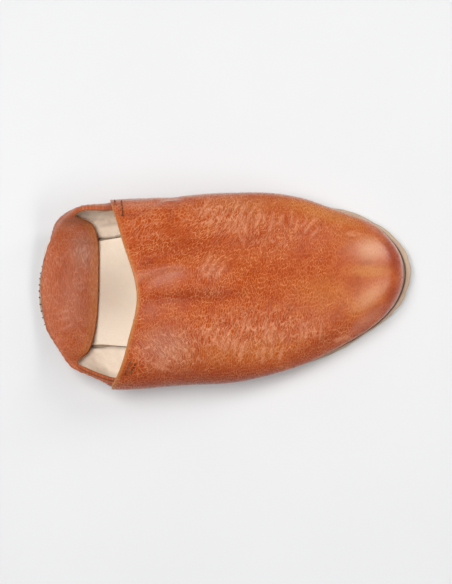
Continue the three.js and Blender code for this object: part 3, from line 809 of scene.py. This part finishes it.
def make_vamp():
    rows, columns = 230, 197
    reach = np.sin(np.linspace(0, math.pi / 2, rows))[:, None]
    turn, place, grid = vamp_grid(reach, columns)
    normal = grid_normals(grid)
    plan = plan_millimetres(grid)
    above = smooth_step(1.0, 0.86, np.abs(turn))
    rise = np.zeros(place.shape)
    for first, last, bow, half_width, depth in VAMP_FOLDS:
        rise -= depth * fold_shape(plan, first, last, bow, half_width)
    ridge = np.zeros(place.shape)
    for first, last, bow, half_width, height in wrinkle_lines(VAMP_WRINKLES):
        line = fold_shape(plan, first, last, bow, half_width)
        rise += height * (line - 0.6 * fold_shape(plan, first, last, bow, 2.4 * half_width))
        ridge = np.maximum(ridge, line)
    rise *= above
    # uneven from shaping by hand, but held still at the sole and the tip
    still = smooth_step(0.0, 0.12, 1 - np.abs(turn)) * smooth_step(0, 0.05, VAMP_TIP - place)
    rise += still * hand_unevenness(grid, (34, 90), 0.3)
    # small puckers round the toe, where the leather is gathered in to the sole
    pucker = np.exp(-(((1 - np.abs(turn)) / 0.07) ** 2)) * np.sin(place * 380 + 2 * np.sin(place * 61))
    rise += 0.16 * pucker * smooth_step(0.5, 0.8, place) * smooth_step(0, 0.01, 1 - np.abs(turn))
    outer = grid + normal * rise[..., None] * MM
    inner = outer - grid_normals(outer) * LEATHER
    base = ground_line(outer[..., 0]) + SOLE_THICKNESS + 0.1 * MM
    for side in (0, -1):
        outer[:, side, 2] = base[:, side]
        inner[:, side, 2] = base[:, side]
    inner[..., 2] = np.maximum(inner[..., 2], base)
    # the grain's own places: how far round from the crest, and along, leaning as the wrinkles do
    step = np.linalg.norm(np.diff(grid, axis=1), axis=-1)
    around = np.concatenate([np.zeros((rows, 1)), np.cumsum(step, axis=1)], axis=1) / MM
    around -= around[:, columns // 2][:, None]
    x, y = plan[..., 0], plan[..., 1]
    lean = 0.55 * bell(x, 128, 46) * np.clip(y - 4, 0, 34) + 0.25 * y
    lean -= 0.9 * bell(x, 92, 26) * np.clip(y + 40, -13, 0)
    patches = {label: soft_patches(plan, where) for label, where in VAMP_PATCHES.items()}
    # painted shade: the vamp is darkened low on its sides, where it turns under towards the sole
    shade_near_sole = 0.75 * smooth_step(0.86, 1.0, np.abs(turn))
    # the throat's edge is paler where it is pared, from the outer wing to the crest
    throat = smooth_step(0.011, 0.003, reach) * smooth_step(0.6, 0.0, turn)
    values = {
        "across": (x - lean, 0, 0),
        "along": (around, 0, 0),
        # ridge: the wrinkles' crests, lightened as painted highlight
        "ridge": (ridge * above * (1 - 0.75 * patches["taut"]), 0, 0),
        "pale": (patches["pale"], 0, 0),
        "darker_tone_and_shade": (np.maximum(patches["darker_tone_and_shade"], shade_near_sole), 0, 0),
        "painted_sheen": (patches["painted_sheen"], 0, 0),
        "wrinkled": (patches["wrinkled"], 0, 0),
        "taut": (patches["taut"], 0, 0),
        # lit_side: the inner side, which gets the painted glancing sheen
        "lit_side": (smooth_step(-0.2, 0.4, turn) + 0 * place, 0, 0),
        "cut": (0.6 * throat, 1, 1),
        "groove_shade": (0, 0, 0),
    }
    material = make_tan_leather(
        "vamp leather", ((0.28, 0.034, 0.002), (0.36, 0.055, 0.005), (0.42, 0.086, 0.010)),
        vein=(0.64, 0.24, 0.10), crest=(0.72, 0.33, 0.18),
        cell_size=1.4, draw=2.2, dullness=0.27, shine=0.16,
    )
    piece = sheet_piece("vamp_leather", outer, inner, values, material)
    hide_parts("vamp")


make_vamp()

# --------------------------------------------------------------------------------------- Vamp lining
# A thin pale skin, pasted inside the vamp before it is lasted and trimmed level with the throat. It
# sinks with the leather's deep folds.
LINING = 0.65 * MM
pale_lining = make_pale_leather("lining skin", (0.93, 0.78, 0.63), (0.86, 0.69, 0.54), 0.004)


def lift_clear(outer, inner, gap):
    """Raises both faces of a sheet where they would sink into the sole."""
    base = ground_line(outer[..., 0]) + SOLE_THICKNESS + gap
    for face in (outer, inner):
        face[..., 2] = np.maximum(face[..., 2], base)


def make_vamp_lining():
    reach = np.sin(np.linspace(0.004, math.pi / 2, 90))[:, None]
    grid = vamp_grid(reach, 81)[2]
    normal = grid_normals(grid)
    plan = plan_millimetres(grid)
    sunk = np.zeros(grid.shape[:2])
    for first, last, bow, half_width, depth in VAMP_FOLDS:
        sunk += max(depth, 0) * fold_shape(plan, first, last, bow, half_width + 1)
    outer = grid - normal * (LEATHER + (0.3 + sunk[..., None]) * MM)
    inner = outer - normal * LINING
    lift_clear(outer, inner, 0.12 * MM)
    values = {"wear_and_crease_shade": (0, 0.25, 0), "cut": (0, 0, 0)}
    sheet_piece("vamp_lining", outer, inner, values, pale_lining, rounding=3)


make_vamp_lining()

# ------------------------------------------------------------------------------------- Back quarter
# One strip of the same leather round the heel, caught under the wings and turned in along its top. It
# stands at the sides; at the back it is trodden down and lies folded forward over the insole.
HEEL_HEIGHT = 26 * MM
TUCK_GAP = 0.8 * MM
TURNED_EDGE = 3 * MM
BEND = 3 * MM
# the folds: which side, the place on the foot line, the ridge and the free edge (shares of the length,
# the ball width and the heel height), through the middle of the leather
HEEL_FOLDS = [
    # side, foot, bulge, ridge, edge
    (1, 0.141, 6, (0.137, 0.462, 1.12), (0.138, 0.436, 1.14)),
    (1, 0.1, 11, (0.1, 0.425, 1.02), (0.114, 0.407, 1.0)),
    (1, 0.067, 7, (0.07, 0.385, 0.64), (0.15, 0.375, 0.5)),
    (1, 0.041, 2, (0.047, 0.319, 0.404), (0.161, 0.298, 0.27)),
    (1, 0.02, 0, (0.022, 0.197, 0.25), (0.163, 0.205, 0.146)),
    (1, 0.0075, 0, (0.008, -0.034, 0.172), (0.159, -0.026, 0.131)),
    (-1, 0.02, 0, (0.019, -0.225, 0.205), (0.154, -0.18, 0.138)),
    (-1, 0.038, 0, (0.037, -0.315, 0.32), (0.145, -0.305, 0.22)),
    (-1, 0.063, 0, (0.06, -0.405, 0.56), (0.13, -0.405, 0.38)),
    (-1, 0.096, 0, (0.094, -0.496, 0.96), (0.107, -0.472, 0.86)),
    (-1, 0.141, 0, (0.137, -0.543, 1.04), (0.138, -0.517, 1.06)),
]
TUCKED_PLACES = [0.268, 0.231, 0.194]
TUCKED_TOP = 0.6
WALL_STEPS, FOLD_STEPS, FLAP_STEPS = 26, 14, 44


def curve_points(points, where):
    """Places along a smooth curve through a few points in space."""
    number = np.linspace(0, 1, len(points))
    return np.stack([smooth_curve(number, np.array(points)[:, axis])(where) for axis in range(3)], axis=-1)


def fold_line(wall, ridge, edge):
    """One fold of the quarter: up the wall, over the ridge and on to the free edge."""
    run = edge - ridge
    length = np.linalg.norm(run)
    run /= length
    bend = min(BEND, length / 2)
    rise = unit(ridge - curve_points(wall, np.array([0.9]))[0])
    wall_length = np.linalg.norm(np.diff(wall, axis=0), axis=1).sum()
    up = curve_points(wall, np.linspace(0, 1 - bend / wall_length, WALL_STEPS + 1)[:-1])
    start, end = ridge - rise * bend, ridge + run * bend
    t = np.linspace(0, 1, FOLD_STEPS + 1)[:, None]
    over = (1 - t) ** 2 * start + 2 * t * (1 - t) * ridge + t**2 * end
    lie = end + (edge - end) * np.linspace(0, 1, FLAP_STEPS + 1)[1:, None]
    return np.concatenate([up, over, lie])


def in_place(share):
    x = along_x(share[0])
    base = ground_line(x) + SOLE_THICKNESS
    return np.array([x, across_y(share[1]), base + share[2] * HEEL_HEIGHT])


def heel_fold(side, foot, bulge, ridge, edge):
    """A fold behind the wings, its wall bellied outwards between foot line and ridge."""
    x = along_x(foot)
    y = across_y(foot_sides[0 if side > 0 else 1](foot))
    stand = np.array([x, y, ground_line(x) + SOLE_THICKNESS + GAP])
    inwards = unit(np.array([along_x(0.4) - x, across_y(-0.03) - y, 0]))
    stand += inwards * WALL / 2
    top = in_place(ridge)
    belly = stand + (top - stand) * 0.85
    belly[2] = stand[2] + 0.45 * (top[2] - stand[2])
    belly -= inwards * bulge * MM
    t = np.linspace(0, 1, 9)[:, None]
    wall = (1 - t) ** 2 * stand + 2 * t * (1 - t) * belly + t**2 * top
    return fold_line(wall, top, in_place(edge))


def tucked_fold(place, side):
    """A fold under a wing, following the inside of the vamp."""
    depth = WALL + TUCK_GAP - 0.35 * MM + WALL / 2
    turn = side * np.linspace(1, TUCKED_TOP, 7)
    places = place + np.array([-0.002, 0, 0.002])
    patch = vamp_point(places[:, None, None], turn[None, :, None] + np.array([0.002, 0, -0.002]))
    normal = unit(np.cross(patch[2, :, 1] - patch[0, :, 1], patch[1, :, 0] - patch[1, :, 2]))
    wall = patch[1, :, 1] - normal * depth
    foot = foot_sides[0 if side > 0 else 1](place)
    x = along_x(place)
    wall[0] = (x, across_y(foot) - side * depth, ground_line(x) + SOLE_THICKNESS + GAP)
    return fold_line(wall, wall[-1], wall[-1] + np.array([0, -side * TURNED_EDGE, 0]))


def quarter_middle():
    """The middle of the quarter's leather: its first row the free edge, its last the foot line."""
    folds = [tucked_fold(place, 1) for place in TUCKED_PLACES]
    folds += [heel_fold(*row) for row in HEEL_FOLDS]
    folds += [tucked_fold(place, -1) for place in reversed(TUCKED_PLACES)]
    folds = np.array(folds)
    number = np.arange(len(folds))
    fine = np.linspace(0, len(folds) - 1, 14 * (len(folds) - 1) + 1)
    grid = np.empty((len(fine), folds.shape[1], 3))
    for step in range(folds.shape[1]):
        for axis in range(3):
            grid[:, step, axis] = smooth_curve(number, folds[:, step, axis])(fine)
    return grid.transpose(1, 0, 2)[::-1]


# creases of the trodden heel: start, end, bow, half width, depth, in millimetres as on the vamp
HEEL_CREASES = [
    ((24, 44), (38, 28), -3, 2.6, 0.55),
    ((22, 38), (36, 20), 2, 2.2, 0.35),
    ((30, 36), (42, 30), 1, 2.0, -0.30),
    ((14, 20), (20, -16), 2, 6.0, 0.50),
    ((28, 12), (30, -24), -3, 7.0, -0.40),
    ((18, -30), (32, -44), 3, 3.4, 0.55),
    ((26, -34), (36, -38), 1, 2.4, -0.30),
]
HEEL_WRINKLES = [
    # centre, length, lean, count, spacing, height
    ((33, 26), 9, 62, 4, 2.6, 0.22),
    ((30, 4), 12, 82, 3, 4.0, 0.14),
    ((20, -24), 12, 70, 3, 4.5, 0.18),
]
# painted sheen on the trodden flap, where the light overhead is reflected
HEEL_SHEEN = [
    # centre, half length, half width, lean, strength
    ((33, 26), 9, 14, 0, 1.0),
    ((24, -10), 8, 18, 0, 0.4),
    ((26, 44), 8, 5, 0, 0.5),
]


def make_quarter():
    middle = quarter_middle()
    normal = grid_normals(middle)
    rows, columns = middle.shape[:2]
    height = middle[..., 2]
    plan = plan_millimetres(middle)
    step = np.linalg.norm(np.diff(middle, axis=0), axis=-1)
    from_edge = np.concatenate([np.zeros((1, columns)), np.cumsum(step, axis=0)]) / MM
    # the trodden flap lies from its free edge to halfway round the fold
    flap = np.broadcast_to((np.arange(rows) <= FLAP_STEPS + FOLD_STEPS // 2)[:, None], height.shape)
    lying = flap * smooth_step(8, 16, from_edge[FLAP_STEPS][None, :])
    rise = np.zeros(height.shape)
    ridge = np.zeros(height.shape)
    for first, last, bow, half_width, depth in HEEL_CREASES:
        rise -= lying * depth * fold_shape(plan, first, last, bow, half_width)
    for first, last, bow, half_width, lift in wrinkle_lines(HEEL_WRINKLES):
        line = lying * fold_shape(plan, first, last, bow, half_width)
        rise += lift * line
        ridge = np.maximum(ridge, line)
    free = smooth_step(0, 5, from_edge) * (height > 6.6 * MM)
    rise += hand_unevenness(middle, (18, 46), 0.35) * free
    around = np.linspace(0, 1, columns)[None, :]
    # fine gathers along the fold
    at_fold = np.exp(-((np.arange(rows) - FLAP_STEPS - 0.5 * FOLD_STEPS) / (0.8 * FOLD_STEPS))[:, None] ** 2)
    rise += 0.16 * at_fold * np.sin(around * 260 + 3 * np.sin(around * 37))
    side = np.linspace(1, -1, columns)[None, :]
    # painted sheen: a pale strip inside the fold on the inner side; the turned hem's sunken line is painted
    # dark as shade
    past_fold = (np.arange(rows) - FLAP_STEPS - 0.62 * FOLD_STEPS)[:, None] / (0.3 * FOLD_STEPS)
    sheen_lip = np.exp(-(past_fold**2)) * smooth_step(0.1, 0.4, side)
    # painted shade: the hem's sunken line is painted near black
    hem = np.exp(-(((from_edge - 1.9) / 0.4) ** 2)) * (0.2 + 0.8 * smooth_step(-0.45, -0.62, side))
    rise -= 0.4 * hem
    centre = middle + normal * rise[..., None] * MM
    outer = centre + normal * (WALL / 2)
    inner = centre + normal * (WALL / 2 - LEATHER)
    lift_clear(outer, inner, 0.1 * MM)
    # painted shade: the quarter's walls are darkened close to the sole
    low = smooth_step(7.0, 1.0, (height - SOLE_THICKNESS) / MM) * (~flap) * 0.5
    values = {
        "across": (plan[..., 0], 0, 0),
        "along": (np.linspace(0, 190, columns)[None, :] + 0 * height, 0, 0),
        # ridge: the wrinkles' crests and the top of the fold, lightened as painted highlight
        "ridge": (np.maximum(ridge, 0.35 * at_fold), 0, 0),
        "pale": (0.45 * smooth_step(8, 3, from_edge) * lying, 0, 0),
        "darker_tone_and_shade": (low, 0, 0),
        "painted_sheen": (np.maximum(soft_patches(plan, HEEL_SHEEN), 1.7 * sheen_lip), 0, 0),
        "wrinkled": (np.maximum(0.35 * lying, soft_patches(plan, HEEL_SHEEN[:1])), 0, 0),
        "taut": (0.0, 0, 0),
        # lit_side: all but the outer wall, which gets the painted glancing sheen
        "lit_side": (smooth_step(-0.75, -0.3, side) + 0 * height, 0, 0),
        "cut": (0, 0.4, 0.3),
        "groove_shade": (0.75 * hem, 0, 0.25),
    }
    material = make_tan_leather(
        "quarter leather", ((0.30, 0.052, 0.012), (0.36, 0.072, 0.019), (0.41, 0.10, 0.03)),
        vein=(0.54, 0.21, 0.11), crest=(0.56, 0.26, 0.17), cell_size=1.5, draw=1.6, dullness=0.38, shine=0.1,
    )
    piece = sheet_piece("quarter_leather", outer, inner, values, material)
    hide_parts("back_quarter")
    return centre, normal, from_edge


quarter_centre, quarter_normal, quarter_depth = make_quarter()

# ------------------------------------------------------------------------------------ Quarter lining
# The same pale skin inside the quarter, pasted down to the insole and tucked under the turned edge. It is
# slack and creased beside the wings.
LINING_CREASES = [
    # start, end, bow, half width, strength
    ((45, 42), (61, 44), 1, 0.9, 1.0),
    ((52, 47), (62, 43), -1, 0.8, 0.8),
    ((38, 46), (50, 47), 1, 1.2, 0.5),
    ((46, -43), (60, -46), 1, 1.2, 0.5),
]


def make_quarter_lining():
    first = np.argmax(quarter_depth[:, 0] > 3.6)
    centre, normal = quarter_centre[first:], quarter_normal[first:]
    outer = centre + normal * (WALL / 2 - LEATHER - 0.05 * MM)
    inner = centre - normal * (WALL / 2)
    slack = hand_unevenness(centre, (5, 14), 0.22)
    crease = np.zeros(slack.shape)
    for start, end, bow, half_width, strength in LINING_CREASES:
        line = strength * fold_shape(plan_millimetres(centre), start, end, bow, half_width)
        crease = np.maximum(crease, line)
    slack -= 0.35 * crease
    inner = inner - normal * (slack * smooth_step(0, 12, np.arange(len(centre)))[:, None])[..., None] * MM
    lift_clear(outer, inner, 0.12 * MM)
    # painted shade: the lining is darkened along its creases, on top of light wear
    values = {"wear_and_crease_shade": (0, 0.1 + 0.8 * crease, 0), "cut": (0, 0, 0.4)}
    sheet_piece("quarter_lining", outer, inner, values, pale_lining, rounding=3)


make_quarter_lining()

# ---------------------------------------------------------------------------------------- Stitching
# Waxed dark thread: bar tacks through each wing into the quarter, and a row of overcast stitches that
# closes the back of the sole.
THREAD = 0.45 * MM


def make_thread_material():
    material, nodes, links, shader = new_material("waxed thread")
    place = nodes.new("ShaderNodeTexCoord").outputs["Object"]
    twist = add_node(nodes, "ShaderNodeTexWave", bands_direction="DIAGONAL")
    twist.inputs["Scale"].default_value = 900
    links.new(place, twist.inputs["Vector"])
    shade = colour_ramp(nodes, [(0.2, (0.045, 0.015, 0.006)), (0.8, (0.16, 0.07, 0.03))])
    links.new(twist.outputs["Fac"], shade.inputs[0])
    dust = between(nodes, links, noise(nodes, links, place, 0.003), 0.5, 0.7, 0.0, 0.45)
    colour = blend_colour(nodes, links, "MIX", dust, shade.outputs[0], (0.42, 0.28, 0.18))
    links.new(colour, shader.inputs["Base Color"])
    shader.inputs["Roughness"].default_value = 0.7
    shader.inputs["Specular IOR Level"].default_value = 0.15
    add_bump(nodes, links, shader, twist.outputs["Fac"], 0.00015)
    return material


def thread_tube(path, radius, sides=8):
    """Points and faces of a thread drawn along a path, drawn to a point at both ends."""
    path = np.asarray(path, float)
    travel = unit(np.gradient(path, axis=0))
    first = unit(np.cross(travel, np.roll(travel[0], 1) + np.array([0.1, 0.2, 0.3])))
    second = np.cross(travel, first)
    angle = np.linspace(0, 2 * math.pi, sides, endpoint=False)
    taper = np.sin(np.linspace(0.35, math.pi - 0.35, len(path))) ** 0.4
    ring = np.cos(angle)[None, :, None] * first[:, None] + np.sin(angle)[None, :, None] * second[:, None]
    points = path[:, None] + ring * (radius * taper)[:, None, None]
    caps = [np.repeat(path[:1, None], sides, axis=1), np.repeat(path[-1:, None], sides, axis=1)]
    rings = np.concatenate([caps[0], points, caps[1]])
    return rings.reshape(-1, 3), ring_faces(len(rings), sides)


def join_threads(name, paths, radius):
    """Many stitches joined as one piece."""
    points, faces, used = [], [], 0
    for path in paths:
        spots, skin = thread_tube(path, radius)
        points.append(spots)
        faces.append(skin + used)
        used += len(spots)
    make_piece(name, np.concatenate(points), np.concatenate(faces), {}, waxed_thread)


waxed_thread = make_thread_material()
# bar tacks: where each row starts and ends (share of the length, turn round the vamp), how many stitches
WING_ROWS = [
    (0.243, 0.38, 0.237, 0.58, 6),
    (0.2235, 0.50, 0.219, 0.60, 3),
    (0.252, -0.34, 0.2345, -0.45, 5),
    (0.263, -0.36, 0.247, -0.44, 4),
]


def wing_stitches():
    for first_place, first_turn, last_place, last_turn, count in WING_ROWS:
        for number in range(count):
            t = (number + 0.5 + 0.3 * np.linspace(-1, 1, 9)) / count
            place = first_place + (last_place - first_place) * t
            turn = first_turn + (last_turn - first_turn) * t
            here = vamp_point(place, turn)
            aside = vamp_point(place + 0.002, turn) - here
            over = vamp_point(place, turn + 0.002) - here
            out = unit(np.cross(aside, over))
            lift = 0.6 * MM * np.sin(np.linspace(0, math.pi, 9)) - 0.1 * MM
            yield here + out * lift[:, None]


def heel_stitches():
    foot = outline(FOOT_LINE, 600)
    edge = outline(SOLE_EDGE, 600)
    travelled = np.linspace(-30, 34, 15)
    for across in travelled:
        side = np.where(np.abs(foot[:, 0] - HEEL_END) < 0.04, np.abs(foot[:, 1] - MIDLINE - across * MM), 1)
        near = int(np.argmin(side))
        inner, outer = foot[near], edge[near]
        away = unit(outer - inner)
        along = np.array([away[1], -away[0]]) * 1.1 * MM
        top = SOLE_THICKNESS
        route = [
            (inner - away * 0.6 * MM, top + 1.6 * MM),
            (inner + away * 0.3 * MM, top + 0.9 * MM),
            (outer - away * 0.2 * MM, top + 0.35 * MM),
            (outer + away * 0.05 * MM, top - 0.6 * MM),
            (outer + away * 0.05 * MM, top - 2.2 * MM),
            (outer - away * 0.4 * MM, top - 3.0 * MM),
        ]
        corners = [np.append(spot + along * (number / 5 - 0.5), z) for number, (spot, z) in enumerate(route)]
        yield curve_points(corners, np.linspace(0, 1, 14))


join_threads("wing_stitches", list(wing_stitches()), THREAD)
join_threads("heel_stitches", list(heel_stitches()), 0.42 * MM)

# --------------------------------------------------------------------------- Floor, light and camera
# A plain pale floor, two tall soft windows beyond the toe, a broad soft light overhead and a camera that
# looks almost straight down on the slipper from beside its inner arch.
CAMERA_HEIGHT = 0.78
CAMERA_PLACE = (-0.0182, -0.062, CAMERA_HEIGHT)
AIM = (0.0, -0.002, 0.02)
IMAGE_UP = (0.0393, 0.9992, 0.0)
LENS = 66


def make_floor():
    mesh = bpy.data.meshes.new("floor")
    size = 14.0
    corners = [(-size, -size, 0), (size, -size, 0), (size, size, 0), (-size, size, 0)]
    mesh.from_pydata(corners, [], [(0, 1, 2, 3)])
    material, nodes, links, shader = new_material("pale floor")
    place = nodes.new("ShaderNodeTexCoord").outputs["Object"]
    shade = colour_ramp(nodes, [(0.3, (0.645, 0.647, 0.65)), (0.7, (0.662, 0.664, 0.666))])
    links.new(noise(nodes, links, place, 0.2), shade.inputs[0])
    links.new(shade.outputs[0], shader.inputs["Base Color"])
    # painted light: beyond half a metre the floor glows, brighter further out, though it is no lamp
    away = add_node(nodes, "ShaderNodeVectorMath", operation="LENGTH")
    links.new(place, away.inputs[0])
    far_floor_glow = colour_ramp(nodes, [(0.0, (0.0, 0.0, 0.0)), (1.0, (0.72, 0.72, 0.72))])
    links.new(between(nodes, links, away.outputs["Value"], 0.5, 2.2), far_floor_glow.inputs[0])
    links.new(far_floor_glow.outputs[0], shader.inputs["Emission Color"])
    shader.inputs["Emission Strength"].default_value = 1.0
    shader.inputs["Roughness"].default_value = 0.6
    shader.inputs["Specular IOR Level"].default_value = 0.2
    mesh.materials.append(material)
    floor = bpy.data.objects.new("floor", mesh)
    bpy.context.scene.collection.objects.link(floor)


def make_light(name, place, aim, size, power, colour=(1, 1, 1)):
    lamp = bpy.data.lights.new(name, "AREA")
    lamp.shape = "RECTANGLE"
    lamp.size, lamp.size_y = size
    lamp.energy = power
    lamp.color = colour
    light = bpy.data.objects.new(name, lamp)
    bpy.context.scene.collection.objects.link(light)
    light.location = place
    direction = Vector(aim) - Vector(place)
    light.rotation_euler = direction.to_track_quat("-Z", "Y").to_euler()


def make_camera():
    lens = bpy.data.cameras.new("camera")
    lens.lens = LENS
    lens.sensor_width = 36
    camera = bpy.data.objects.new("camera", lens)
    bpy.context.scene.collection.objects.link(camera)
    camera.location = CAMERA_PLACE
    back = (Vector(CAMERA_PLACE) - Vector(AIM)).normalized()
    up = Vector(IMAGE_UP)
    right = up.cross(back).normalized()
    up = back.cross(right)
    camera.rotation_euler = Matrix((right, up, back)).transposed().to_euler()
    bpy.context.scene.camera = camera


make_floor()
make_light("overhead", (-0.42, 0.14, 1.3), (-0.05, 0, 0), (0.8, 0.8), 17.6)
make_light("side_window", (0.2, 1.35, 0.8), (0, 0, 0), (1.3, 0.7), 0.9)
make_light("toe_window_inner", (1.0, 0.62, 0.92), (0.1, 0, 0.03), (0.36, 0.75), 6.6)
make_light("toe_window_outer", (0.92, -0.43, 1.1), (0.1, 0, 0.03), (1.1, 0.38), 6.8)
world = bpy.data.worlds.new("room")
bpy.context.scene.world = world
world.use_nodes = True
sky = world.node_tree
heights = sky.nodes.new("ShaderNodeSeparateXYZ")
sky.links.new(sky.nodes.new("ShaderNodeTexCoord").outputs["Generated"], heights.inputs[0])
walls = colour_ramp(sky.nodes, [
    (0.0, (1.0, 1.0, 1.0)),
    (0.14, (0.85, 0.85, 0.85)),
    (0.4, (0.2, 0.2, 0.205)),
    (1.0, (0.13, 0.13, 0.135)),
])
sky.links.new(heights.outputs[2], walls.inputs[0])
sky.links.new(walls.outputs[0], sky.nodes["Background"].inputs["Color"])
sky.nodes["Background"].inputs["Strength"].default_value = 0.75
bpy.context.scene.view_settings.view_transform = "Standard"
make_camera()
